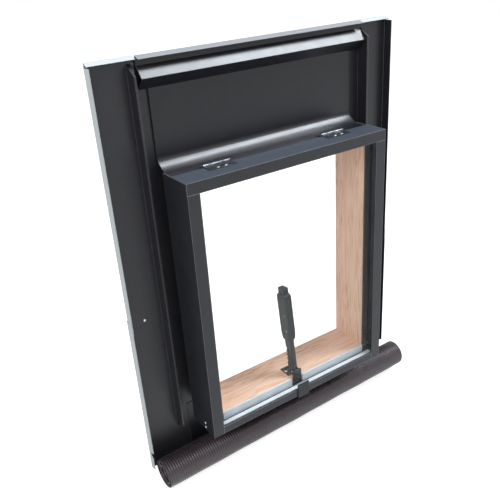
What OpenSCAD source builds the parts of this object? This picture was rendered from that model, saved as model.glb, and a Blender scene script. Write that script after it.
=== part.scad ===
// Roof skylight for a cold loft: pine frame, top-hung glazed sash, folded sheet flashing,
// pleated apron rolled up at the foot, and a notched stay bar on the room side.
// X runs across the roof, Z up the slope, and the weather side faces -Y.
// The origin is the middle of the back face of the frame's sill board.

/* [Wooden frame] */
// Outer width of the wooden frame
frame_w = 456; // [380:2:700]
// Outer height of the wooden frame
frame_h = 576; // [460:2:1000]
// Depth of the frame boards from front to back
frame_depth = 97; // [90:1:140]
// Thickness of the frame boards
board_t = 18; // [16:1:24]
// Bevel along the board edges
board_bevel = 1; // [0.5:0.5:2]

/* [Flashing] */
// Width of the flashing beside the frame
flashing_side = 133; // [110:1:200]
// Height of the flashing above the frame
flashing_above = 220; // [190:1:320]
// Height of the flashing below the frame
flashing_below = 136; // [120:1:180]
// Thickness of the flashing sheet
sheet_t = 1.2; // [0.8:0.1:1.6]
// Height of the upturned side lips
side_lip_h = 24; // [16:1:30]
// Length of the folded lip at the top
top_lip = 13; // [8:1:18]
// Distance of the rib from the frame
rib_from_frame = 52; // [48:1:70]
// Height of the rib beside the gutter
rib_h = 32; // [24:1:40]
// Thickness of the folded rib
rib_t = 4; // [3:0.5:6]
// Height of the ridge fold across the head
ridge_h = 20; // [12:1:26]
// Width of the ridge fold at its foot
ridge_w = 44; // [34:1:60]
// Distance of the ridge's crest below the top edge
ridge_down = 38; // [36:1:60]
// Depth of the fold under the head sheet's edges
head_fold = 4; // [3:0.5:6]
// Radius of the cove's wide lower arc
cove_r = 45; // [40:1:60]
// Radius of the cove's tight upper arc
cove_top_r = 14; // [10:1:16]
// Height of the upstand along the frame
upstand_h = 50; // [36:1:70]
// Height of the lap between the upper and lower side sheets
lap_up = 247; // [160:1:320]
// Length of the lap
lap_len = 26; // [20:1:40]

/* [Sash] */
// Overhang of the sash past the frame on each side
sash_over = 22; // [20:0.5:24]
// Drop of the sash below the frame
sash_drop = 20; // [18:1:26]
// Rise of the sash's top over the head shelf
sash_rise = 2.8; // [2.6:0.1:3.4]
// Thickness of the sash sheet
sash_t = 1.5; // [1:0.1:1.8]
// Height of the top strip
top_strip = 24; // [20:1:34]
// Width of the side stiles
stile_w = 26; // [22:1:36]
// Height of the bottom rail
rail_h = 18; // [16:1:24]
// Distance of the sash skirt from the roof plane
skirt_gap = 30; // [20:1:40]
// Thickness of each pane
pane_t = 4; // [3:0.5:5]
// Gap between the panes
pane_gap = 10; // [8:1:14]
// Gap between the frame's front edge and the inner pane
seal_gap = 6; // [5:0.5:7]
// Thickness of the glazing seal
glazing_seal_t = 1.5; // [1:0.1:2]
// Height of the spacer bars
spacer_h = 9; // [6:1:12]

/* [Hinges] */
// Distance of a hinge's middle from the frame's side
hinge_inset = 80; // [50:1:130]
// Width of a hinge
hinge_w = 62; // [50:1:76]
// Depth of each hinge leaf
leaf_d = 28; // [26:1:32]
// Thickness of the hinge leaves
leaf_t = 1.5; // [1.2:0.1:1.6]
// Diameter of the hinge pins
pin_d = 4; // [3:0.2:4.4]
// Wall of the hinge knuckles
knuckle_wall = 1.55; // [1.2:0.05:1.7]

/* [Stay bar] */
// Length of the notched blade
blade_len = 86; // [70:1:110]
// Thickness of the blade
blade_t = 9; // [5:0.5:10]
// Width of the blade on its notched side
blade_reach = 18; // [14:1:20]
// Number of notches
notches = 4; // [2:1:5]
// Length of the grip
grip_len = 118; // [90:1:140]
// Width of the grip
grip_w = 31; // [26:1:32]
// Thickness of the grip
grip_t = 19; // [14:1:22]
// Lean of the bar into the room
stay_lean = 7; // [3:1:10]
// Diameter of the stay's pivot pin
stay_pin_d = 5; // [4:0.5:6]

/* [Apron] */
// Width of the rolled apron
apron_w = 740; // [600:10:900]
// Radius of the roll's outer turn
roll_r = 36; // [30:1:44]
// Step between the roll's turns
turn_step = 9; // [7:1:12]
// Half turns in the roll
half_turns = 4; // [2:1:5]
// Distance between two pleats
pleat_pitch = 10; // [8:1:20]
// Depth of a pleat
pleat_d = 2.4; // [1.5:0.1:3]
// Thickness of the apron sheet
apron_t = 1; // [0.8:0.1:1.4]
// Slope of the roll along its length
roll_slope = 1; // [0:0.1:1.2]

/* [Hidden] */
$fn = 48;
fit = 0.05;
gap = 0.3;
touch = 0.02;

// Frame
frame_bottom = -board_t / 2;
frame_top = frame_bottom + frame_h;
frame_half = frame_w / 2;
open_half = frame_half - board_t;
open_bottom = board_t / 2;
open_top = frame_top - board_t;
frame_front = -frame_depth;
wood_screw_r = 2.2;
wood_screw_len = 45;
wood_screw_head_r = 4.2;
wood_screw_inset = 24;

// Flashing
flashing_half = frame_half + flashing_side;
flashing_top = frame_top + flashing_above;
flashing_bottom = frame_bottom - flashing_below;
lap_z = frame_bottom + lap_up;
rib_x = frame_half + rib_from_frame;
rib_slope = 19;
rib_top = flashing_top - 31;
rib_foot = frame_bottom - 31;
rib_toe = 11;
lower_face = -sheet_t;
upper_face = -2 * sheet_t;
head_back = 2 * sheet_t + head_fold;
head_face = -(head_back + sheet_t);
shelf_z = frame_top + sheet_t;
shelf_front = -(frame_depth - 17);
ridge_z = flashing_top - ridge_down;
ridge_left = rib_x - rib_t / 2 - rib_toe - 1.5;
ridge_right = rib_x - rib_t / 2 - 0.5;
lip_drop = 5;
lip_foot = flashing_top - lip_drop;
sill_lap = 24;
flashing_rivet_x = rib_x + 42;
flashing_rivet_z = lap_z + lap_len / 2;
rivet_r = 1.9;
rivet_head_r = 3.6;
rivet_head_h = 1.4;

// Sash
pane_in = frame_front - seal_gap;
pane_mid_in = pane_in - pane_t;
pane_mid_out = pane_mid_in - pane_gap;
pane_out = pane_mid_out - pane_t;
sash_in = pane_out - glazing_seal_t;
sash_front = sash_in - sash_t;
sash_half = frame_half + sash_over;
skirt_in = sash_half - sash_t;
sash_top = shelf_z + sash_rise;
sash_bottom_z = frame_bottom - sash_drop;
top_wall_z = sash_top - sash_t;
strip_z = sash_top - top_strip;
stile_in = sash_half - stile_w;
head_half = skirt_in - 1.5;
rail_z = sash_bottom_z;
rail_top = rail_z + rail_h;
pane_half = skirt_in - 3;
pane_top = top_wall_z - 3;
shelf_glass = rail_z + rail_h / 2;
ledge_y = pane_in + gap;
ledge_w = 16;
shoe_back = -75;
shoe_tab_h = 21;
shoe_tab_t = 2;
shoe_tab_d = 20;
shoe_rivet_y = shoe_back - shoe_tab_d / 2;
shoe_rivet_low = 6;
shoe_rivet_step = 12;
spacer_inset = 9;
spacer_low = 1;
seal_w = 16;
seal_inset = 1;
seal_t = seal_gap - sash_t - 2 * gap;
seal_reveal = 1;
stay_slot = 16;

// Hinges
knuckle_r = pin_d / 2 + fit + knuckle_wall;
hinge_y = -62;
hinge_span = frame_w - 2 * hinge_inset;
leaf_back = 16;
hinge_z = sash_top + leaf_t;
knuckles = 5;
knuckle_len = hinge_w / knuckles;
knuckle_gap = 0.4;
hinge_free = knuckle_r + 0.9;
top_back = hinge_y - hinge_free;
leaf_screw_r = 2;
leaf_screw_x = 18;
leaf_screw_back = 6;
leaf_screw_len = 16;
leaf_rivet_x = 9;

// Cove between the flashing above the sash and the shelf under it: two arcs that meet smoothly
cove_end = hinge_y + leaf_back + 0.5;
cove_across = head_face - cove_top_r - cove_end;
cove_up = sqrt(pow(cove_r - cove_top_r, 2) - pow(cove_across, 2));
cove_z = shelf_z + cove_r - cove_up;
cove_join = [cove_across, -cove_up] / (cove_r - cove_top_r);

// Stay bar
stay_y = frame_front + 7;
stay_z = open_bottom + 11;
eye_r = 7;
ear_r = 8;
ear_t = 3;
ear_gap = 0.4;
clip_t = 3;
clip_front_half = 16;
clip_front_h = 38;
clip_half = 12;
clip_back = frame_front - 1.2;
clip_low = sash_bottom_z - 5;
tang_half = 5;
tang_len = 84;
notch_r = 4;
notch_step = 11;
notch_first = 24;
grip_middle = (blade_reach - eye_r) / 2;
grip_taper = 18;
grip_corner = 4;
grip_stub = 16;
stay_rivet_r = 2;
stay_rivet_first = 24;
stay_rivet_step = 40;

// Keeper
keeper_half = 16;
keeper_t = 2;
keeper_front = frame_front + 11;
keeper_back = frame_front + 43;
peg_y = frame_front + 37;
peg_half = 6;
peg_r = 2.5;
peg_h = 4;
keeper_screw_r = 1.8;
keeper_screw_len = 12;
keeper_screw_x = 11;
keeper_screw_inset = 16;

// Apron
pleats = floor(apron_w / pleat_pitch);
pleat_half = pleat_d / 2;
tail_y = upper_face - gap - pleat_half - apron_t / 2;
roll_y = tail_y - roll_r;
roll_z = flashing_bottom + 13;
apron_left = 11 - flashing_half;
tail_top = roll_z + 10;
tail_half = flashing_half - 11;
strip_t = 2;
strip_h = 9;
strip_half = tail_half - 2;
lip_nick_z = roll_z + 36;

// A path turned into a folded sheet, thickened to the left of its direction
function unit(v) = v / norm(v);
function left_of(v) = [-v[1], v[0]];
function mitre(a, b, c, t) =
    let (n1 = left_of(unit(b - a)), n2 = left_of(unit(c - b)), m = unit(n1 + n2)) b + m * t / (m * n1);
function side_path(p, t) = [
    for (i = [0 : len(p) - 1])
        i == 0 ? p[0] + left_of(unit(p[1] - p[0])) * t
        : i == len(p) - 1 ? p[i] + left_of(unit(p[i] - p[i - 1])) * t
        : mitre(p[i - 1], p[i], p[i + 1], t)
];
function folded(p, t) = let (q = side_path(p, t)) concat(p, [for (i = [len(q) - 1 : -1 : 0]) q[i]]);

// A block between two corners
module block(low, high) {
    translate(low) cube(high - low);
}

// A (y, z) outline run along X from x0 to x1
module along_x(x0, x1) {
    translate([x0, 0, 0]) rotate([90, 0, 90]) linear_extrude(x1 - x0) children();
}

// A (x, y) outline run along Z from z0 to z1
module along_z(z0, z1) {
    translate([0, 0, z0]) linear_extrude(z1 - z0) children();
}

// Right-hand pieces are drawn on +X and mirrored for the left
module on_side(side) {
    mirror([side < 0 ? 1 : 0, 0, 0]) children();
}

module beveled(low, high, bevel) {
    polygon([
        [low[0] + bevel, low[1]], [high[0] - bevel, low[1]], [high[0], low[1] + bevel],
        [high[0], high[1] - bevel], [high[0] - bevel, high[1]], [low[0] + bevel, high[1]],
        [low[0], high[1] - bevel], [low[0], low[1] + bevel]
    ]);
}

// Countersunk screw along -Z, head flush at z = 0
module screw(r, head_r, len, extra) {
    cone = head_r - r;
    rotate_extrude() polygon([
        [0, 0], [head_r + extra, 0], [r + extra, -cone], [r + extra, -len], [0, -len]
    ]);
}

// Rivet along -Z, domed head above z = 0
module rivet(r, head_r, head_h, len) {
    rotate_extrude() polygon([
        [0, head_h], [head_r * 0.45, head_h], [head_r * 0.85, head_h * 0.6], [head_r, 0],
        [r, 0], [r, -len], [0, -len]
    ]);
}

// Frame boards

module frame_screw_places() {
    for (x = [-1, 1], y = [-wood_screw_inset, frame_front + wood_screw_inset])
        translate([x * (frame_half - board_t / 2), y, 0]) children();
}

module frame_screw_set(extra) {
    frame_screw_places() {
        translate([0, 0, frame_top]) screw(wood_screw_r, wood_screw_head_r, wood_screw_len, extra);
    }
    frame_screw_places() {
        translate([0, 0, frame_bottom]) mirror([0, 0, 1])
            screw(wood_screw_r, wood_screw_head_r, wood_screw_len, extra);
    }
}

module hinge_screw_set(extra) {
    for (side = [-1, 1], dx = [-leaf_screw_x, leaf_screw_x])
        translate([side * hinge_span / 2 + dx, hinge_y + hinge_free + leaf_screw_back, shelf_z + leaf_t])
            screw(leaf_screw_r, leaf_screw_r + leaf_t, leaf_screw_len, extra);
}

module keeper_screw_set(extra) {
    for (side = [-1, 1])
        translate([side * keeper_screw_x, keeper_back - keeper_screw_inset, open_bottom + keeper_t])
            screw(keeper_screw_r, keeper_screw_r + 1.6, keeper_screw_len, extra);
}

module frame_head() {
    color("burlywood") difference() {
        along_x(-frame_half, frame_half) beveled([frame_front, open_top], [0, frame_top], board_bevel);
        frame_screw_set(fit);
        hinge_screw_set(fit);
    }
}

module frame_sill() {
    color("burlywood") difference() {
        along_x(-frame_half, frame_half) beveled([frame_front, frame_bottom], [0, open_bottom], board_bevel);
        frame_screw_set(fit);
        keeper_screw_set(fit);
    }
}

module frame_jamb(side) {
    color("burlywood") difference() {
        on_side(side) along_z(open_bottom, open_top)
            beveled([open_half, frame_front], [frame_half, 0], board_bevel);
        frame_screw_set(fit);
    }
}

module frame_screws() {
    color("goldenrod") frame_screw_set(0);
}

// Seals on the frame's front edge

module frame_seal_side(side) {
    color("black") on_side(side) along_z(open_bottom + seal_inset - seal_w, open_top - seal_inset + seal_w)
        beveled(
            [open_half + seal_inset, frame_front - seal_t],
            [open_half + seal_inset + seal_w, frame_front], board_bevel
        );
}

module frame_seal_head() {
    low = open_top + seal_inset;
    half = open_half + seal_inset;
    color("black") along_x(-half, half)
        beveled([frame_front - seal_t, low], [frame_front, low + seal_w], board_bevel);
}

module frame_seal_sill() {
    half = open_half + seal_inset;
    color("lightsteelblue") for (side = [-1, 1]) on_side(side) along_x(stay_slot, half)
        beveled([frame_front - seal_t, shelf_glass + 1], [frame_front, open_bottom], board_bevel);
}

// Flashing

module cove_arc(centre, r, from, to) {
    translate(centre) intersection() {
        difference() {
            circle(r + sheet_t);
            circle(r);
        }
        polygon([[0, 0], 2 * r * from, 2 * r * to]);
    }
}

module cove_outline() {
    cove_arc([cove_end, shelf_z + cove_r], cove_r, [0, -1], cove_join);
    cove_arc([head_face - cove_top_r, cove_z], cove_top_r, cove_join, [1, 0]);
}

module flashing_head() {
    crest_face = head_face - ridge_h;
    upper = [
        [head_face - top_lip, flashing_top - lip_drop], [head_face, flashing_top],
        [head_face, ridge_z + ridge_w / 2], [crest_face, ridge_z], [head_face, ridge_z - ridge_w / 2]
    ];
    fold_low = ridge_z - ridge_w / 2;
    color("dimgray") difference() {
        union() {
            along_x(-ridge_left, ridge_right) polygon(folded(upper, sheet_t));
            along_x(-head_half, head_half) {
                polygon([
                    [head_face, cove_z], [-head_back, cove_z],
                    [-head_back, fold_low + sheet_t], [head_face, fold_low + sheet_t]
                ]);
                cove_outline();
                polygon([
                    [shelf_front, shelf_z - sheet_t], [cove_end, shelf_z - sheet_t],
                    [cove_end, shelf_z], [shelf_front, shelf_z]
                ]);
            }
            for (side = [-1, 1]) on_side(side)
                block([head_half - sheet_t, -head_back - touch, cove_z], [head_half, upper_face, fold_low]);
        }
        hinge_screw_set(fit);
    }
}

module top_lip_sheet(x0, x1, face) {
    along_x(x0, x1) polygon(folded([
        [face - top_lip, flashing_top - lip_drop], [face, flashing_top], [face, lip_foot - 1]
    ], sheet_t));
}

// Pressed rib, full height from z0 to z1, running out at its free end with a toe of the given width
module rib(face, z0, z1, run_out, toe) {
    end = run_out > 0 ? z1 : z0;
    tip = end + run_out;
    along_x(rib_x - rib_t / 2, rib_x + rib_t / 2) polygon(run_out > 0
        ? [[face, z0], [-rib_h, z0], [-rib_h, z1], [face, tip]]
        : [[face, tip], [-rib_h, z0], [-rib_h, z1], [face, z1]]);
    if (toe > 0) intersection() {
        along_x(rib_x - rib_t / 2 - toe, rib_x) polygon([[face, end], [face, tip], [-rib_h, end]]);
        translate([0, face, 0]) rotate([90, 0, 0]) linear_extrude(rib_h) polygon([
            [rib_x, end], [rib_x, tip], [rib_x - rib_t / 2 - toe, tip]
        ]);
    }
}

module flashing_rivet_holes() {
    translate([flashing_rivet_x, 1, flashing_rivet_z]) rotate([90, 0, 0])
        cylinder(r = rivet_r + fit, h = 2 * sheet_t + 2);
}

module flashing_upper(side) {
    low_x = frame_half + sheet_t;
    high_x = flashing_half - sheet_t;
    color("dimgray") on_side(side) difference() {
        union() {
            block([low_x, upper_face, lap_z], [high_x, lower_face, lip_foot]);
            block([high_x - sheet_t, -side_lip_h, lap_z], [high_x, upper_face + touch, lip_foot - 2]);
            block([low_x, -upstand_h, lap_z], [low_x + sheet_t, upper_face + touch, frame_top]);
            rib(upper_face + touch, lap_z, rib_top, rib_slope, side < 0 ? rib_toe : 0);
            top_lip_sheet((side < 0 ? ridge_left : ridge_right) + 2, high_x, upper_face);
        }
        flashing_rivet_holes();
    }
}

module flashing_lower(side) {
    low_x = frame_half;
    lap_top = lap_z + lap_len;
    low_lip = 0.75 * side_lip_h;
    lip_outline = side > 0
        ? [
            [0, lip_nick_z], [-side_lip_h, lip_nick_z + 16], [-side_lip_h, lap_top], [0, lap_top]
        ]
        : [
            [0, flashing_bottom], [-low_lip, flashing_bottom + 8], [-low_lip, lip_nick_z - 10],
            [-4, lip_nick_z], [-side_lip_h, lip_nick_z + 10], [-side_lip_h, lap_top], [0, lap_top]
        ];
    color("dimgray") on_side(side) difference() {
        union() {
            block([low_x, lower_face, flashing_bottom], [flashing_half, 0, lap_top]);
            along_x(flashing_half - sheet_t, flashing_half) polygon(lip_outline);
            block([low_x, -upstand_h, frame_bottom], [low_x + sheet_t, 0, lap_top]);
            rib(lower_face + touch, rib_foot, lap_z - gap, -rib_slope, rib_toe);
        }
        flashing_rivet_holes();
    }
}

module flashing_sill() {
    half = frame_half + sill_lap;
    color("dimgray") {
        block([-half, upper_face, flashing_bottom], [half, lower_face, frame_bottom]);
        block([-frame_half, -upstand_h, frame_bottom - sheet_t],
            [frame_half, upper_face + touch, frame_bottom]);
    }
}

module flashing_rivets() {
    color("silver") for (side = [-1, 1]) on_side(side)
        translate([flashing_rivet_x, upper_face, flashing_rivet_z]) rotate([90, 0, 0])
            rivet(rivet_r, rivet_head_r, rivet_head_h, 2 * sheet_t);
}

// Apron: a pleated sheet that hangs behind the roll and winds up in half turns

function pleat(i) = i % 2 == 0 ? pleat_half : -pleat_half;
function pleat_x(i) = apron_left + i * pleat_pitch / 2;

function pleat_outline(r, first, last) = concat(
    [for (i = [first : last]) [r + pleat(i) + apron_t / 2, pleat_x(i)]],
    [for (i = [last : -1 : first]) [r + pleat(i) - apron_t / 2, pleat_x(i)]]
);

// Half a turn about X, below the axis when low is true and above it otherwise
module half_turn(y, r, low) {
    translate([0, y, roll_z]) rotate([0, 90, 0]) rotate([0, 0, low ? -90 : 90])
        rotate_extrude(angle = 180) polygon(pleat_outline(r, 0, 2 * pleats));
}

module on_slope() {
    translate([0, 0, roll_z]) rotate([0, -roll_slope, 0]) translate([0, 0, -roll_z]) children();
}

module apron_roll() {
    last = min(2 * pleats, floor((tail_half - apron_left) * 2 / pleat_pitch));
    tail = [for (p = pleat_outline(roll_r, 0, last)) [p[1], roll_y + p[0]]];
    color("rosybrown") on_slope() {
        along_z(roll_z, tail_top) polygon(tail);
        for (n = [0 : half_turns - 1]) {
            r = roll_r - n * turn_step / 2;
            half_turn(roll_y - (n % 2) * turn_step / 2, r, n % 2 == 0);
        }
    }
}

module apron_strip() {
    y = tail_y - pleat_half - apron_t / 2 - gap;
    z = roll_z + 0.5;
    color("gray") on_slope() along_x(apron_left + 2, min(strip_half, apron_left + apron_w - 2))
        beveled([y - strip_t, z], [y, z + strip_h], strip_t / 4);
}

// Hinges

module knuckle_set(x, first) {
    for (i = [first : 2 : knuckles - 1])
        translate([x + (i - knuckles / 2) * knuckle_len + knuckle_gap / 2, hinge_y, hinge_z])
            rotate([0, 90, 0]) cylinder(r = knuckle_r, h = knuckle_len - knuckle_gap);
}

module pin_bore(x) {
    translate([x - hinge_w, hinge_y, hinge_z]) rotate([0, 90, 0])
        cylinder(d = pin_d + 2 * fit, h = 2 * hinge_w);
}

module knuckle_tabs(x, first, low, high) {
    for (i = [first : 2 : knuckles - 1])
        block([x + (i - knuckles / 2) * knuckle_len + knuckle_gap / 2, low[0], low[1]],
            [x + (i - knuckles / 2 + 1) * knuckle_len - knuckle_gap / 2, high[0], high[1]]);
}

module hinge_frame_leaf(side) {
    x = side * hinge_span / 2;
    back = hinge_y + hinge_free;
    color("silver") difference() {
        union() {
            block([x - hinge_w / 2, back, shelf_z], [x + hinge_w / 2, hinge_y + leaf_back, shelf_z + leaf_t]);
            knuckle_tabs(x, 0, [hinge_y, shelf_z], [back + touch, shelf_z + leaf_t]);
            knuckle_set(x, 0);
        }
        pin_bore(x);
        hinge_screw_set(fit);
    }
}

module hinge_rivet_places() {
    for (side = [-1, 1], dx = [-leaf_rivet_x, leaf_rivet_x])
        translate([side * hinge_span / 2 + dx, hinge_y - leaf_d + 6, sash_top + leaf_t]) children();
}

module hinge_rivet_holes() {
    hinge_rivet_places() translate([0, 0, -10]) cylinder(r = rivet_r + fit, h = 20);
}

module hinge_sash_leaf(side) {
    x = side * hinge_span / 2;
    color("silver") difference() {
        union() {
            block([x - hinge_w / 2, hinge_y - leaf_d, sash_top],
                [x + hinge_w / 2, top_back, sash_top + leaf_t]);
            knuckle_tabs(x, 1, [top_back - touch, sash_top], [hinge_y, sash_top + leaf_t]);
            knuckle_set(x, 1);
        }
        pin_bore(x);
        hinge_rivet_holes();
    }
}

module hinge_pin(side) {
    color("gainsboro") translate([side * hinge_span / 2 - hinge_w / 2, hinge_y, hinge_z]) rotate([0, 90, 0])
        cylinder(d = pin_d, h = hinge_w);
}

module hinge_frame_screws() {
    color("white") hinge_screw_set(0);
}

module hinge_sash_rivets() {
    color("white") hinge_rivet_places() rivet(rivet_r, rivet_head_r, rivet_head_h, leaf_t + sash_t);
}

// Sash

module sash_top_cover() {
    ledge_low = top_wall_z - ledge_w;
    color("dimgray") difference() {
        along_x(-sash_half, sash_half) {
            polygon(folded([[sash_front, strip_z], [sash_front, sash_top], [top_back, sash_top]], -sash_t));
        }
        hinge_rivet_holes();
    }
    color("dimgray") along_x(-skirt_in, skirt_in) polygon([
        [ledge_y, ledge_low], [ledge_y + sash_t, ledge_low],
        [ledge_y + sash_t, top_wall_z + touch], [ledge_y, top_wall_z + touch]
    ]);
}

module sash_rivet_places() {
    for (side = [-1, 1], n = [0, 1]) on_side(side)
        translate([sash_half, shoe_rivet_y, rail_z + shoe_rivet_low + n * shoe_rivet_step]) rotate([0, 90, 0])
            children();
}

module sash_rivet_holes() {
    sash_rivet_places() translate([0, 0, -10]) cylinder(r = rivet_r + fit, h = 20);
}

module sash_side(side) {
    color("dimgray") difference() {
        on_side(side) {
            along_z(sash_bottom_z, top_wall_z) polygon([
                [skirt_in, sash_in], [sash_half, sash_in], [sash_half, -skirt_gap], [skirt_in, -skirt_gap]
            ]);
            along_z(sash_bottom_z, strip_z) polygon([
                [stile_in, sash_front], [sash_half, sash_front], [sash_half, sash_in + touch],
                [skirt_in, sash_in + touch], [skirt_in, sash_in], [stile_in, sash_in]
            ]);
            along_z(rail_top, top_wall_z - ledge_w - gap) polygon([
                [skirt_in - ledge_w, ledge_y], [skirt_in + touch, ledge_y],
                [skirt_in + touch, ledge_y + sash_t], [skirt_in - ledge_w, ledge_y + sash_t]
            ]);
        }
        sash_rivet_holes();
    }
}

module rail_shelves(front) {
    polygon([
        [front, rail_z], [shoe_back, rail_z], [shoe_back, rail_z + sash_t], [front, rail_z + sash_t]
    ]);
    polygon([
        [front, shelf_glass - sash_t], [ledge_y + sash_t, shelf_glass - sash_t],
        [ledge_y + sash_t, rail_top - gap], [ledge_y, rail_top - gap],
        [ledge_y, shelf_glass], [front, shelf_glass]
    ]);
}

module sash_bottom_rail() {
    shoe_top = rail_z + sash_t;
    color("dimgray") difference() {
        union() {
            along_x(-stile_in, stile_in) {
                polygon([
                    [sash_front, rail_z], [sash_in, rail_z], [sash_in, rail_top], [sash_front, rail_top]
                ]);
                rail_shelves(sash_in - touch);
            }
            along_x(-skirt_in, skirt_in) rail_shelves(sash_in);
            for (side = [-1, 1]) on_side(side)
                block([skirt_in - shoe_tab_t, shoe_back - shoe_tab_d, rail_z],
                    [skirt_in, shoe_back, rail_z + shoe_tab_h]);
        }
        sash_rivet_holes();
        block([-clip_half - gap, clip_back - clip_t - gap, rail_z - 1],
            [clip_half + gap, clip_back + gap, shoe_top + 1]);
    }
}

module sash_rivets() {
    color("white") sash_rivet_places() rivet(rivet_r, rivet_head_r, rivet_head_h, sash_t + shoe_tab_t);
}

// Glazing

module pane(front, back) {
    color("lightblue", 0.4) block([-pane_half, front, shelf_glass], [pane_half, back, pane_top]);
}

module spacer_bar(low, high) {
    color("lightsteelblue") block([low[0], pane_mid_out, low[1]], [high[0], pane_mid_in, high[1]]);
}

module spacer_level(z) {
    half = pane_half - spacer_inset;
    spacer_bar([-half, z], [half, z + spacer_h]);
}

module spacer_upright(side) {
    half = pane_half - spacer_inset;
    on_side(side) spacer_bar([half - spacer_h, shelf_glass + spacer_low + spacer_h],
        [half, pane_top - spacer_inset - spacer_h]);
}

module glazing_seal_level(low, high) {
    half = stile_in - seal_reveal;
    color("black") block([-half, sash_in, low], [half, pane_out, high]);
}

module glazing_seal_side(side) {
    color("black") on_side(side) block([stile_in - seal_reveal, sash_in, shelf_glass],
        [stile_in + seal_w, pane_out, pane_top]);
}

// Stay bar with its clip on the sash, and its keeper on the sill

module stay_place() {
    translate([0, stay_y, stay_z]) rotate([-stay_lean, 0, 0]) children();
}

module stay_bore(d) {
    translate([-grip_t, stay_y, stay_z]) rotate([0, 90, 0]) cylinder(d = d, h = 2 * grip_t);
}

module stay_clip() {
    ear_x = blade_t / 2 + ear_gap;
    clip_front = sash_front - clip_t;
    color("darkslategray") difference() {
        union() {
            block([-clip_front_half, clip_front, clip_low],
                [clip_front_half, sash_front, clip_low + clip_front_h]);
            block([-clip_half, sash_front - touch, clip_low], [clip_half, clip_back, clip_low + clip_t]);
            block([-clip_half, clip_back - clip_t + touch, clip_low], [clip_half, clip_back, stay_z + ear_r]);
            for (side = [-1, 1]) on_side(side) along_x(ear_x, ear_x + ear_t) {
                translate([stay_y, stay_z]) circle(ear_r);
                translate([clip_back - touch, stay_z - ear_r]) square([stay_y - clip_back, 2 * ear_r]);
            }
        }
        stay_bore(stay_pin_d + 2 * touch);
    }
}

module stay_pin() {
    half = blade_t / 2 + ear_gap + ear_t;
    color("silver") translate([-half, stay_y, stay_z]) rotate([0, 90, 0])
        cylinder(d = stay_pin_d, h = 2 * half);
}

module tang_outline() {
    translate([-tang_half, blade_len]) square([2 * tang_half, tang_len]);
}

module stay_rivet_places() {
    for (n = [0, 1])
        translate([grip_t / 2, 0, blade_len + stay_rivet_first + n * stay_rivet_step])
            rotate([0, 90, 0]) children();
}

module stay_bar() {
    color("darkslategray") difference() {
        stay_place() difference() {
            along_x(-blade_t / 2, blade_t / 2) difference() {
                union() {
                    circle(eye_r);
                    polygon([
                        [-eye_r, 0], [eye_r, 0], [blade_reach, blade_reach - eye_r + 2],
                        [blade_reach, blade_len], [-eye_r, blade_len]
                    ]);
                    tang_outline();
                }
                for (n = [0 : notches - 1])
                    translate([blade_reach, notch_first + n * notch_step]) circle(notch_r);
            }
            stay_rivet_places() translate([0, 0, -grip_t]) cylinder(r = stay_rivet_r + fit, h = grip_t);
        }
        stay_bore(stay_pin_d + 2 * fit);
    }
}

module grip_outline() {
    half = grip_w / 2;
    foot = half - 3.5;
    top = blade_len + grip_len;
    translate([grip_middle, 0]) polygon([
        [-foot, blade_len], [foot, blade_len], [half, blade_len + grip_taper], [half, top - grip_corner],
        [half - grip_corner, top], [grip_corner - half, top], [-half, top - grip_corner],
        [-half, blade_len + grip_taper]
    ]);
}

module stay_grip() {
    stub_half = grip_w * 0.36;
    stub_t = grip_t * 0.7;
    top = blade_len + grip_len;
    color("darkslategray") stay_place() difference() {
        union() {
            along_x(-grip_t / 2, grip_t / 2) grip_outline();
            along_x(-stub_t / 2, stub_t / 2)
                beveled([grip_middle - stub_half, top - 2], [grip_middle + stub_half, top + grip_stub], 1.5);
        }
        along_x(-blade_t / 2, blade_t / 2) tang_outline();
        stay_rivet_places() translate([0, 0, -grip_t - 1]) cylinder(r = stay_rivet_r + fit, h = grip_t + 2);
    }
}

module stay_rivets() {
    color("silver") stay_place() stay_rivet_places() rivet(stay_rivet_r, rivet_head_r, 0.8, grip_t);
}

module keeper() {
    top = open_bottom + keeper_t;
    color("darkslategray") difference() {
        union() {
            block([-keeper_half, keeper_front, open_bottom], [keeper_half, keeper_back, top]);
            along_x(-peg_half, peg_half) {
                translate([peg_y, top + peg_h - peg_r]) circle(peg_r);
                translate([peg_y - peg_r, top - touch]) square([2 * peg_r, peg_h - peg_r + touch]);
            }
        }
        keeper_screw_set(fit);
    }
}

module keeper_screws() {
    color("silver") keeper_screw_set(0);
}

frame_head();
frame_sill();
frame_jamb(-1);  // frame_jamb_left
frame_jamb(1);  // frame_jamb_right
frame_screws();
frame_seal_head();
frame_seal_sill();
frame_seal_side(-1);  // frame_seal_left
frame_seal_side(1);  // frame_seal_right
flashing_head();
flashing_upper(-1);  // flashing_left_upper
flashing_upper(1);  // flashing_right_upper
flashing_lower(-1);  // flashing_left_lower
flashing_lower(1);  // flashing_right_lower
flashing_sill();
flashing_rivets();
apron_roll();
apron_strip();
hinge_frame_leaf(-1);  // hinge_frame_leaf_left
hinge_frame_leaf(1);  // hinge_frame_leaf_right
hinge_pin(-1);  // hinge_pin_left
hinge_pin(1);  // hinge_pin_right
hinge_frame_screws();
keeper();
keeper_screws();
sash_top_cover();
sash_side(-1);  // sash_side_left
sash_side(1);  // sash_side_right
sash_bottom_rail();
sash_rivets();
pane(pane_out, pane_mid_out);  // glass_outer
pane(pane_mid_in, pane_in);  // glass_inner
spacer_level(pane_top - spacer_inset - spacer_h);  // spacer_top
spacer_level(shelf_glass + spacer_low);  // spacer_bottom
spacer_upright(-1);  // spacer_left
spacer_upright(1);  // spacer_right
glazing_seal_level(strip_z - seal_reveal, strip_z + seal_w);  // glazing_seal_top
glazing_seal_level(shelf_glass, rail_top + seal_reveal);  // glazing_seal_bottom
glazing_seal_side(-1);  // glazing_seal_left
glazing_seal_side(1);  // glazing_seal_right
hinge_sash_leaf(-1);  // hinge_sash_leaf_left
hinge_sash_leaf(1);  // hinge_sash_leaf_right
hinge_sash_rivets();
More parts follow.
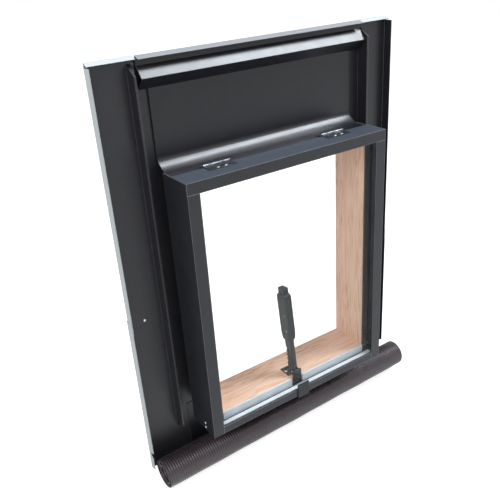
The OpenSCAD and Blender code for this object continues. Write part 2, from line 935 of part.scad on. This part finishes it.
stay_clip();
stay_pin();
stay_bar();
stay_grip();
stay_rivets();
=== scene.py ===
import math

import bpy
from mathutils import Matrix, Vector


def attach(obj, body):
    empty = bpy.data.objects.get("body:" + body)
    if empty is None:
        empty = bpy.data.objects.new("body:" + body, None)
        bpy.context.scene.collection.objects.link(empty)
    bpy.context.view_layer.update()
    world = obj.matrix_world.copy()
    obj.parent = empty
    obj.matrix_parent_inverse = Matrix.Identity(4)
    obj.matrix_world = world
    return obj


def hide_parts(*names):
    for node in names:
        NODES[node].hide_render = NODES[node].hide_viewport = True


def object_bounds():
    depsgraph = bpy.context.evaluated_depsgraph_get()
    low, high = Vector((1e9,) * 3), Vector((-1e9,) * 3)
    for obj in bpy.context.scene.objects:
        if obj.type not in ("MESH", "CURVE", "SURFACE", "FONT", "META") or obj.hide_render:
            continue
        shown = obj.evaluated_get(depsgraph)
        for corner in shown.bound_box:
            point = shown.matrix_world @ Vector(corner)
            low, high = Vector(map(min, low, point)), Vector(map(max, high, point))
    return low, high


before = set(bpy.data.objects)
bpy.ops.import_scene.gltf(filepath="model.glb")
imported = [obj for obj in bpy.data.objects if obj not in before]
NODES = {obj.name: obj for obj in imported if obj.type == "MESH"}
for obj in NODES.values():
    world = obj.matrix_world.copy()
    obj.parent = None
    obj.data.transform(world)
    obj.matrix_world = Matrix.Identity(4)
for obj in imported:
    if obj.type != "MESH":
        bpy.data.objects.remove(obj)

CAD_BOX = [list(corner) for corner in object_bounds()]

MM = 0.001

# Sizes shared with the CAD model, in metres
FLASHING_HALF = 361 * MM
FLASHING_TOP = 787 * MM
LIP_SHEET = 2.6 * MM
LIP_FOOT = 5.5 * MM

HINGE_Y = -62 * MM
HINGE_Z = 572.5 * MM
KNUCKLE_REACH = 4.2 * MM

# Roughness of unpainted sheet
MATT = 0.62

# Camera of the photograph
CAMERA_PLACE = Vector((-738.7, -1098.2, 958.8)) * MM
CAMERA_FORWARD = Vector((0.4804, 0.7602, -0.4381))
CAMERA_UP = Vector((0.2929, 0.3321, 0.8968))
CAMERA_LENS = 45.52


# Shader helpers

class Shader:
    """A material's node tree, with short calls for the nodes that the finishes share."""

    def __init__(self, name):
        self.material = bpy.data.materials.new(name)
        self.material.use_nodes = True
        self.tree = self.material.node_tree
        self.surface = self.tree.nodes["Principled BSDF"]
        self.output = self.tree.nodes["Material Output"]
        spot = self.node("ShaderNodeTexCoord")
        self.coords = spot.outputs["Object"]
        self.facing = self.parts(spot.outputs["Normal"])

    def node(self, kind, **settings):
        made = self.tree.nodes.new(kind)
        for key, value in settings.items():
            setattr(made, key, value)
        return made

    def parts(self, vector):
        made = self.node("ShaderNodeSeparateXYZ")
        self.link(vector, made.inputs[0])
        return made.outputs

    def link(self, source, target):
        self.tree.links.new(source, target)

    def put(self, target, value):
        if isinstance(value, bpy.types.NodeSocket):
            self.link(value, target)
        else:
            target.default_value = value

    def set(self, **values):
        for key, value in values.items():
            self.put(self.surface.inputs[key.replace("_", " ")], value)

    def math(self, operation, a, b=0.0):
        made = self.node("ShaderNodeMath", operation=operation)
        self.put(made.inputs[0], a)
        self.put(made.inputs[1], b)
        return made.outputs[0]

    def stretched(self, scale):
        made = self.node("ShaderNodeMapping")
        self.link(self.coords, made.inputs["Vector"])
        made.inputs["Scale"].default_value = scale
        return made.outputs["Vector"]

    def noise(self, scale, detail=4.0, rough=0.55, distortion=0.0, vector=None):
        made = self.node("ShaderNodeTexNoise")
        self.link(vector or self.coords, made.inputs["Vector"])
        made.inputs["Scale"].default_value = scale
        made.inputs["Detail"].default_value = detail
        made.inputs["Roughness"].default_value = rough
        made.inputs["Distortion"].default_value = distortion
        return made.outputs["Fac"]

    def ramp(self, factor, stops):
        made = self.node("ShaderNodeValToRGB")
        self.link(factor, made.inputs["Fac"])
        elements = made.color_ramp.elements
        while len(elements) < len(stops):
            elements.new(0.5)
        for element, (place, color) in zip(elements, stops):
            element.position = place
            element.color = (*color, 1.0)
        return made.outputs["Color"]

    def level(self, factor, low, high, start=0.0, end=1.0):
        made = self.node("ShaderNodeMapRange")
        self.link(factor, made.inputs["Value"])
        made.inputs["From Min"].default_value = start
        made.inputs["From Max"].default_value = end
        made.inputs["To Min"].default_value = low
        made.inputs["To Max"].default_value = high
        return made.outputs["Result"]

    def mix(self, factor, a, b):
        made = self.node("ShaderNodeMix", data_type="RGBA")
        self.put(made.inputs[0], factor)
        for socket, value in ((made.inputs[6], a), (made.inputs[7], b)):
            self.put(socket, value if isinstance(value, bpy.types.NodeSocket) else (*value, 1.0))
        return made.outputs[2]

    def rounded_edges(self, radius):
        made = self.node("ShaderNodeBevel", samples=6)
        made.inputs["Radius"].default_value = radius
        return made.outputs["Normal"]

    def edge_mask(self, radius, sharpness=6.0):
        normal = self.node("ShaderNodeNewGeometry").outputs["True Normal"]
        dot = self.node("ShaderNodeVectorMath", operation="DOT_PRODUCT")
        self.link(self.rounded_edges(radius), dot.inputs[0])
        self.link(normal, dot.inputs[1])
        away = self.math("SUBTRACT", 1.0, dot.outputs["Value"])
        return self.math("MINIMUM", self.math("MULTIPLY", away, sharpness), 1.0)

    def bump(self, height, distance, strength=1.0, normal=None):
        made = self.node("ShaderNodeBump")
        made.inputs["Strength"].default_value = strength
        made.inputs["Distance"].default_value = distance
        self.link(height, made.inputs["Height"])
        if normal is not None:
            self.link(normal, made.inputs["Normal"])
        return made.outputs["Normal"]

    def finish_normal(self, normal):
        self.link(normal, self.surface.inputs["Normal"])


def srgb(red, green, blue):
    """A screen colour from 0 to 255 as linear values."""
    def linear(value):
        value = value / 255
        return value / 12.92 if value <= 0.04045 else ((value + 0.055) / 1.055) ** 2.4
    return (linear(red), linear(green), linear(blue))


# Finishes

def sheet_paint(
    name, dark, light, worn, gloss, round_radius, back=None, rub_and_edge_highlight=0.0, dust=None, sheen=0.4, upward_sheen=0.0
):
    """Coil-coated sheet with mottling, slow waves and rubbed edges; the pale edges are worn paint and a
    painted edge highlight.

    back is the colour of the unpainted side, and dust that of level faces, where it is settled dust and a
    painted bluish sheen.
    upward_sheen is the raised sheen of faces that look up, a painted highlight that brightens the overhead
    lamp's reflection on them.
    """
    shader = Shader(name)
    mottle = shader.noise(38.0, 5.0, 0.6)
    fine = shader.noise(900.0, 3.0, 0.5)
    streak = shader.noise(14.0, 4.0, 0.6, 0.3, shader.stretched((1.0, 1.0, 0.12)))
    paint = shader.ramp(mottle, [(0.3, dark), (0.72, light)])
    paint = shader.mix(shader.level(streak, 0.0, 0.25, 0.5, 0.8), paint, light)
    # Painted edge highlight with edge wear: rounded edges take the pale worn colour, at least as much as
    # rub_and_edge_highlight gives, for rubbed paint and for the lamp's highlight along the edges
    edge = shader.edge_mask(round_radius * 0.9)
    edge_wear_and_highlight = shader.level(shader.noise(160.0, 4.0, 0.65), rub_and_edge_highlight, 0.8, 0.5, 0.68)
    chipped_and_highlit = shader.math("MULTIPLY", edge, edge_wear_and_highlight)
    rough = shader.level(mottle, gloss - 0.02, gloss + 0.04, 0.25, 0.75)
    if back is not None:
        unpainted = back_mask(shader)
        pale = shader.ramp(mottle, [(0.25, back), (0.8, tuple(min(1.0, part * 1.08) for part in back))])
        paint = shader.mix(unpainted, paint, pale)
        rough = shader.math("MAXIMUM", rough, shader.math("MULTIPLY", unpainted, MATT))
    if dust is not None:
        # Level faces take the dust colour: settled dust, and with it a painted bluish sheen that lightens
        # them as light from above would
        level_face = shader.level(shader.facing["Z"], 0.0, 1.0, 0.6, 0.95)
        settled_dust_and_sheen = shader.math("MULTIPLY", level_face, shader.level(fine, 0.75, 1.0, 0.35, 0.65))
        paint = shader.mix(settled_dust_and_sheen, paint, dust)
    shader.set(Base_Color=shader.mix(chipped_and_highlit, paint, worn))
    shader.set(Roughness=rough)
    # Painted highlight: faces that look up get the higher sheen, so the overhead lamp shows brighter on the
    # ridge and the cove
    shader.set(Specular_IOR_Level=shader.level(shader.facing["Z"], sheen, max(sheen, upward_sheen), 0.2, 0.6))
    wave = shader.noise(4.0, 1.0, 0.4)
    normal = shader.bump(wave, 0.003, 0.12, shader.rounded_edges(round_radius))
    shader.finish_normal(shader.bump(fine, 0.00006, 0.5, normal))
    return shader.material


def back_mask(shader):
    """1 on the sheet's unpainted side: its back, the outside of the side lips, the top of the head lips."""
    place = shader.parts(shader.coords)
    behind = shader.math("GREATER_THAN", shader.facing["Y"], 0.5)
    across = shader.math("ABSOLUTE", place["X"])
    at_lip = shader.math("GREATER_THAN", across, FLASHING_HALF - LIP_SHEET)
    inward = shader.math("MULTIPLY", shader.facing["X"], shader.math("SIGN", place["X"]))
    outside = shader.math("MULTIPLY", at_lip, shader.math("GREATER_THAN", inward, -0.5))
    high = shader.math("GREATER_THAN", place["Z"], FLASHING_TOP - LIP_FOOT)
    upward = shader.math("GREATER_THAN", shader.facing["Z"], 0.2)
    crest = shader.math("MULTIPLY", high, upward)
    return shader.math("MAXIMUM", behind, shader.math("MAXIMUM", outside, crest))


def pine(name, along):
    """Planed pine with grain along one axis: growth bands, fine fibres and a few darker streaks."""
    shader = Shader(name)
    squeeze = [1.0, 1.0, 1.0]
    fibres = [1.0, 1.0, 1.0]
    squeeze["XYZ".index(along)] = 0.045
    fibres["XYZ".index(along)] = 0.012
    bands = shader.noise(62.0, 3.0, 0.5, 1.1, shader.stretched(squeeze))
    rings = shader.math("FRACT", shader.math("MULTIPLY", bands, 7.0))
    ring = shader.level(shader.math("PINGPONG", rings, 0.5), 0.0, 1.0, 0.0, 0.5)
    fibre = shader.noise(420.0, 5.0, 0.6, 0.2, shader.stretched(fibres))
    tone = shader.noise(9.0, 2.0, 0.5)
    growth = [(0.0, srgb(204, 150, 116)), (0.3, srgb(232, 192, 165)), (1.0, srgb(240, 206, 184))]
    wood = shader.ramp(ring, growth)
    wood = shader.mix(shader.level(fibre, 0.0, 0.3, 0.45, 0.8), wood, srgb(214, 166, 137))
    wood = shader.mix(shader.level(tone, 0.0, 0.3, 0.4, 0.75), wood, srgb(245, 209, 188))
    shader.set(Base_Color=wood)
    shader.set(Roughness=shader.level(fibre, 0.48, 0.66))
    shader.set(Specular_IOR_Level=0.3)
    normal = shader.bump(fibre, 0.00035, 0.5, shader.rounded_edges(0.8 * MM))
    shader.finish_normal(shader.bump(ring, 0.0002, 0.3, normal))
    return shader.material


def bright_metal(name, color, rough, brushed):
    """Zinc or aluminium: brushed streaks with a slight spangle."""
    shader = Shader(name)
    streak = shader.noise(260.0, 4.0, 0.6, 0.0, shader.stretched(brushed))
    spangle = shader.noise(90.0, 3.0, 0.7)
    dull = tuple(part * 0.72 for part in color)
    shader.set(Base_Color=shader.ramp(spangle, [(0.3, dull), (0.7, color)]))
    shader.set(Metallic=1.0)
    shader.set(Roughness=shader.level(streak, rough - 0.08, rough + 0.12))
    shader.finish_normal(shader.bump(streak, 0.00008, 0.4, shader.rounded_edges(0.5 * MM)))
    return shader.material


def hinge_metal(name):
    """Hinge with dark coated leaves, and bright zinc where the knuckles and the leaves' edges are rubbed."""
    shader = Shader(name)
    place = shader.parts(shader.coords)
    across = shader.math("SUBTRACT", place["Y"], HINGE_Y)
    above = shader.math("SUBTRACT", place["Z"], HINGE_Z)
    squares = shader.math("ADD", shader.math("POWER", across, 2.0), shader.math("POWER", above, 2.0))
    knuckle = shader.math("LESS_THAN", shader.math("SQRT", squares), KNUCKLE_REACH)
    streak = shader.noise(260.0, 4.0, 0.6, 0.0, shader.stretched((0.2, 1.0, 1.0)))
    spangle = shader.noise(90.0, 3.0, 0.7)
    worn = shader.level(spangle, 0.2, 0.9, 0.35, 0.6)
    rubbed = shader.math("MULTIPLY", shader.edge_mask(0.7 * MM, 4.0), worn)
    bright = shader.math("MAXIMUM", knuckle, rubbed)
    zinc_color = shader.ramp(spangle, [(0.35, srgb(66, 70, 76)), (0.66, srgb(146, 151, 157))])
    shader.set(Base_Color=shader.mix(bright, srgb(44, 46, 50), zinc_color))
    shader.set(Metallic=shader.level(bright, 0.0, 1.0))
    shader.set(Roughness=shader.level(streak, 0.24, 0.42))
    shader.finish_normal(shader.bump(streak, 0.00008, 0.4, shader.rounded_edges(0.5 * MM)))
    return shader.material


def painted_light_profile(name):
    """Pale blue-grey sealing profile with a slight sheen and fine lines along its length; its colour is
    painted light, raised so that the strip reads bright where it lies in shade.
    """
    shader = Shader(name)
    lines = shader.noise(520.0, 2.0, 0.5, 0.0, shader.stretched((0.01, 1.0, 1.0)))
    cloud = shader.noise(30.0, 3.0, 0.5)
    shader.set(Base_Color=shader.ramp(cloud, [(0.3, srgb(206, 213, 219)), (0.75, srgb(222, 229, 234))]))
    shader.set(Roughness=shader.level(lines, 0.3, 0.44))
    shader.finish_normal(shader.bump(lines, 0.0001, 0.4, shader.rounded_edges(0.8 * MM)))
    return shader.material


def rubber(name):
    """Dark sealing rubber with a little dust."""
    shader = Shader(name)
    grain = shader.noise(700.0, 3.0, 0.6)
    dust = shader.noise(60.0, 4.0, 0.6)
    shader.set(Base_Color=shader.ramp(dust, [(0.35, srgb(22, 22, 23)), (0.8, srgb(44, 44, 45))]))
    shader.set(Roughness=shader.level(grain, 0.6, 0.8))
    shader.finish_normal(shader.bump(grain, 0.0001, 0.5, shader.rounded_edges(0.6 * MM)))
    return shader.material


def moulded(name, dark, light, rough, grain_size, depth):
    """Moulded plastic or powder-coated metal with a fine grain and paler worn edges."""
    shader = Shader(name)
    grain = shader.noise(grain_size, 2.0, 0.5)
    patch = shader.noise(45.0, 4.0, 0.6)
    edge = shader.edge_mask(0.7 * MM, 3.0)
    color = shader.ramp(patch, [(0.3, dark), (0.75, light)])
    shader.set(Base_Color=shader.mix(shader.math("MULTIPLY", edge, 0.4), color, srgb(98, 103, 105)))
    shader.set(Roughness=shader.level(patch, rough - 0.05, rough + 0.1))
    shader.set(Specular_IOR_Level=0.25)
    shader.finish_normal(shader.bump(grain, depth, 0.5, shader.rounded_edges(0.9 * MM)))
    return shader.material


def pane_glass(name):
    """Clear float glass that lets lamp light through to the wood behind it."""
    shader = Shader(name)
    smear = shader.noise(16.0, 4.0, 0.6)
    shader.set(Base_Color=(0.985, 0.988, 0.986, 1.0))
    shader.set(Transmission_Weight=1.0)
    shader.set(IOR=1.12)
    shader.set(Roughness=shader.level(smear, 0.0, 0.02, 0.45, 0.75))
    clear = shader.node("ShaderNodeBsdfTransparent")
    clear.inputs["Color"].default_value = (0.985, 0.99, 0.988, 1.0)
    path = shader.node("ShaderNodeLightPath")
    unseen = shader.math("MAXIMUM", path.outputs["Is Shadow Ray"], path.outputs["Is Diffuse Ray"])
    both = shader.node("ShaderNodeMixShader")
    shader.link(unseen, both.inputs["Fac"])
    shader.link(shader.surface.outputs["BSDF"], both.inputs[1])
    shader.link(clear.outputs["BSDF"], both.inputs[2])
    shader.link(both.outputs["Shader"], shader.output.inputs["Surface"])
    return shader.material


def dress(material, *names):
    for name in names:
        slots = NODES[name].data.materials
        slots.clear()
        slots.append(material)


# rub_and_edge_highlight paints pale edges: worn paint, and a painted highlight along the rounded edges
# (strongest on the sash)
paint = sheet_paint(
    "anthracite_sheet", srgb(36, 36, 41), srgb(42, 42, 47), srgb(130, 134, 140), 0.34, 1.6 * MM,
    back=srgb(194, 200, 202), rub_and_edge_highlight=0.25
)
# Painted shade: a darker copy of the anthracite sheet paint, so the head's flat stays dark under the
# overhead lamp and its upward sheen; its lip tops take a grey, darker copy of the pale unpainted side
shaded_head_paint = sheet_paint(
    "anthracite_head", srgb(25, 25, 30), srgb(31, 31, 36), srgb(130, 134, 140), 0.3, 1.8 * MM,
    back=srgb(138, 141, 146), rub_and_edge_highlight=0.25, sheen=0.34, upward_sheen=0.8
)
# The sash's dust colour is settled dust and a painted bluish sheen on its level faces
sash_paint = sheet_paint(
    "anthracite_sash", srgb(34, 35, 39), srgb(41, 42, 46), srgb(160, 166, 174), 0.33, 2.0 * MM, rub_and_edge_highlight=0.6,
    dust=srgb(78, 85, 96), sheen=0.32
)
apron_paint = sheet_paint(
    "apron_sheet", srgb(62, 52, 58), srgb(76, 65, 72), srgb(96, 86, 93), 0.3, 0.6 * MM,
    sheen=0.55
)
pine_level = pine("pine_level", "X")
pine_upright = pine("pine_upright", "Z")
zinc = bright_metal("zinc", srgb(208, 210, 212), 0.32, (0.2, 1.0, 1.0))
spacer_metal = bright_metal("spacer_metal", srgb(96, 102, 108), 0.42, (0.05, 1.0, 1.0))
hinge_zinc = hinge_metal("hinge_zinc")
sill_profile = painted_light_profile("sill_profile")
seal_rubber = rubber("seal_rubber")
stay_coat = moulded("stay_coat", srgb(33, 36, 38), srgb(45, 49, 52), 0.42, 1400.0, 0.00005)
grip_plastic = moulded("grip_plastic", srgb(30, 33, 35), srgb(40, 44, 46), 0.48, 900.0, 0.00012)
glass = pane_glass("pane_glass")

dress(pine_level, "frame_head", "frame_sill")
dress(pine_upright, "frame_jamb_left", "frame_jamb_right")
dress(seal_rubber, *[name for name in NODES if "_seal_" in name and name != "frame_seal_sill"])
dress(paint, "flashing_left_upper", "flashing_right_upper", "flashing_left_lower", "flashing_right_lower")
dress(shaded_head_paint, "flashing_head", "flashing_sill", "apron_strip")
dress(sash_paint, "sash_top_cover", "sash_side_left", "sash_side_right", "sash_bottom_rail")
dress(apron_paint, "apron_roll")
dress(hinge_zinc, *[name for name in NODES if "_leaf_" in name])
dress(zinc, *[name for name in NODES if name.endswith(("_rivets", "_screws"))])
dress(zinc, "hinge_pin_left", "hinge_pin_right", "stay_pin")
# Painted light: the sill seal and the bottom spacer are painted pale for the light the upward strip catches,
# while the other spacers stay dark
dress(sill_profile, "frame_seal_sill", "spacer_bottom")
dress(spacer_metal, "spacer_top", "spacer_left", "spacer_right")
dress(glass, "glass_outer", "glass_inner")
dress(stay_coat, "stay_bar", "stay_clip", "keeper")
dress(grip_plastic, "stay_grip")


# Apron: fine pleats wound into the roll, in place of the coarser solid

APRON_LEFT = -350 * MM
APRON_RIGHT = 390 * MM
TAIL_RIGHT = 350 * MM
TAIL_TOP = -122 * MM
ROLL_Y = -40.4 * MM
ROLL_Z = -132 * MM
ROLL_RADIUS = 36 * MM
TURN_STEP = 9 * MM
HALF_TURNS = 4
ROLL_SLOPE = math.radians(1.0)
PLEAT = 6.2 * MM
PLEAT_DEPTH = 1.1 * MM
PLEAT_STEPS = 6
APRON_SHEET = 0.6 * MM
TAIL_ROWS = 4
DENT = 0.5 * MM


def wound_path(first, last, step):
    """Points of the spiral as (y, z, outward y, outward z), half turn by half turn."""
    path = []
    for turn in range(first, last):
        radius = ROLL_RADIUS - turn * TURN_STEP / 2
        middle = ROLL_Y - (turn % 2) * TURN_STEP / 2
        count = max(8, int(math.pi * radius / step))
        for index in range(0 if turn == first else 1, count + 1):
            swing = math.pi * index / count
            out_y = math.cos(swing)
            out_z = -math.sin(swing)
            if turn % 2:
                out_y = -out_y
                out_z = -out_z
            path.append((middle + radius * out_y, ROLL_Z + radius * out_z, out_y, out_z))
    return path


def pleated_sheet(name, path, left, right):
    """A thin sheet along the path, pleated across its width and set at the roll's slope."""
    columns = int(round((right - left) / PLEAT * PLEAT_STEPS))
    mesh = bpy.data.meshes.new(name)
    places = []
    for y, z, out_y, out_z in path:
        for column in range(columns + 1):
            x = left + (right - left) * column / columns
            dent = DENT * math.sin(x * 17.0 + z * 31.0) * math.sin(x * 41.0 + 1.3)
            wave = PLEAT_DEPTH * math.sin(2 * math.pi * (x - APRON_LEFT) / PLEAT) + dent
            point_y = y + wave * out_y
            point_z = z + wave * out_z - ROLL_Z
            places.append((
                x * math.cos(ROLL_SLOPE) - point_z * math.sin(ROLL_SLOPE),
                point_y,
                ROLL_Z + x * math.sin(ROLL_SLOPE) + point_z * math.cos(ROLL_SLOPE),
            ))
    faces = []
    for row in range(len(path) - 1):
        start = row * (columns + 1)
        for column in range(columns):
            corner = start + column
            faces.append((corner, corner + 1, corner + columns + 2, corner + columns + 1))
    mesh.from_pydata(places, [], faces)
    mesh.polygons.foreach_set("use_smooth", [True] * len(faces))
    sheet = bpy.data.objects.new(name, mesh)
    bpy.context.scene.collection.objects.link(sheet)
    thickness = sheet.modifiers.new("thickness", "SOLIDIFY")
    thickness.thickness = APRON_SHEET
    thickness.offset = 0.0
    sheet.data.materials.append(apron_paint)
    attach(sheet, "frame")
    return sheet


def add_apron():
    tail_y = ROLL_Y + ROLL_RADIUS
    tail = [
        (tail_y, TAIL_TOP + (ROLL_Z - TAIL_TOP) * row / TAIL_ROWS, 1.0, 0.0) for row in range(TAIL_ROWS + 1)
    ]
    pleated_sheet("apron_tail", tail, APRON_LEFT, TAIL_RIGHT)
    outer = pleated_sheet("apron_outer_turns", wound_path(0, 2, 4 * MM), APRON_LEFT, APRON_RIGHT)
    pleated_sheet("apron_inner_turns", wound_path(2, HALF_TURNS, 5 * MM), APRON_LEFT, APRON_RIGHT)
    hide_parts("apron_roll")


add_apron()


# Studio

# Brightness that the floor gains for the eye alone, so that it reads as white paper
FLOOR_LIFT = 0.8

FLOOR_SIZE = 14.0
FLOOR_COLOR = (0.6, 0.6, 0.6, 1.0)
WORLD_LIGHT = 0.44
SKY_BLUE = (0.87, 0.94, 1.0)


def add_camera():
    data = bpy.data.cameras.new("camera")
    data.lens = CAMERA_LENS
    data.sensor_width = 36.0
    camera = bpy.data.objects.new("camera", data)
    back = -CAMERA_FORWARD.normalized()
    right = CAMERA_UP.cross(back).normalized()
    up = back.cross(right)
    turn = Matrix((right, up, back)).transposed().to_4x4()
    camera.matrix_world = Matrix.Translation(CAMERA_PLACE) @ turn
    bpy.context.scene.collection.objects.link(camera)
    bpy.context.scene.camera = camera


def add_lamp(name, place, target, power, width, height, color=(1.0, 1.0, 1.0)):
    data = bpy.data.lights.new(name, "AREA")
    data.shape = "RECTANGLE"
    data.size = width
    data.size_y = height
    data.energy = power
    data.color = color
    lamp = bpy.data.objects.new(name, data)
    lamp.location = place
    lamp.rotation_euler = (Vector(target) - Vector(place)).to_track_quat("-Z", "Y").to_euler()
    bpy.context.scene.collection.objects.link(lamp)


def seen_by_eye(tree):
    """1 for the camera's rays and for those that a mirror or a glass sends on, 0 for the rest."""
    path = tree.nodes.new("ShaderNodeLightPath")
    first = tree.nodes.new("ShaderNodeMath")
    first.operation = "MAXIMUM"
    tree.links.new(path.outputs["Is Camera Ray"], first.inputs[0])
    tree.links.new(path.outputs["Is Glossy Ray"], first.inputs[1])
    second = tree.nodes.new("ShaderNodeMath")
    second.operation = "MAXIMUM"
    tree.links.new(first.outputs[0], second.inputs[0])
    tree.links.new(path.outputs["Is Transmission Ray"], second.inputs[1])
    return second.outputs[0]


def white_for_the_eye(tree, strength):
    """White where the eye sees it, and a grey of the given strength for the rest."""
    pick = tree.nodes.new("ShaderNodeMix")
    pick.data_type = "RGBA"
    tree.links.new(seen_by_eye(tree), pick.inputs[0])
    pick.inputs[6].default_value = (strength, strength, strength, 1.0)
    pick.inputs[7].default_value = (1.0, 1.0, 1.0, 1.0)
    return pick.outputs[2]


def add_studio():
    low = CAD_BOX[0][2]
    bpy.ops.mesh.primitive_plane_add(size=FLOOR_SIZE, location=(0.0, 0.0, low))
    floor = bpy.context.object
    floor.name = "floor"
    material = bpy.data.materials.new("floor_white")
    material.use_nodes = True
    surface = material.node_tree.nodes["Principled BSDF"]
    surface.inputs["Base Color"].default_value = FLOOR_COLOR
    surface.inputs["Roughness"].default_value = 0.9
    surface.inputs["Specular IOR Level"].default_value = 0.1
    seen = material.node_tree.nodes.new("ShaderNodeMath")
    seen.operation = "MULTIPLY"
    seen.inputs[1].default_value = FLOOR_LIFT
    material.node_tree.links.new(seen_by_eye(material.node_tree), seen.inputs[0])
    surface.inputs["Emission Color"].default_value = (1.0, 1.0, 1.0, 1.0)
    material.node_tree.links.new(seen.outputs[0], surface.inputs["Emission Strength"])
    floor.data.materials.append(material)
    world = bpy.data.worlds.new("studio")
    bpy.context.scene.world = world
    world.use_nodes = True
    sky = world.node_tree.nodes["Background"]
    world.node_tree.links.new(white_for_the_eye(world.node_tree, WORLD_LIGHT), sky.inputs["Color"])
    sky.inputs["Strength"].default_value = 1.0
    add_lamp("overhead", (2.97, -1.22, 5.36), (0.0, -0.05, 0.5), 360.0, 1.5, 4.7, SKY_BLUE)
    add_lamp("front_left", (-1.8, -1.2, 2.0), (0.0, -0.1, 0.3), 25.0, 1.2, 1.2)


add_camera()
add_studio()

bpy.context.scene.view_settings.view_transform = "Standard"
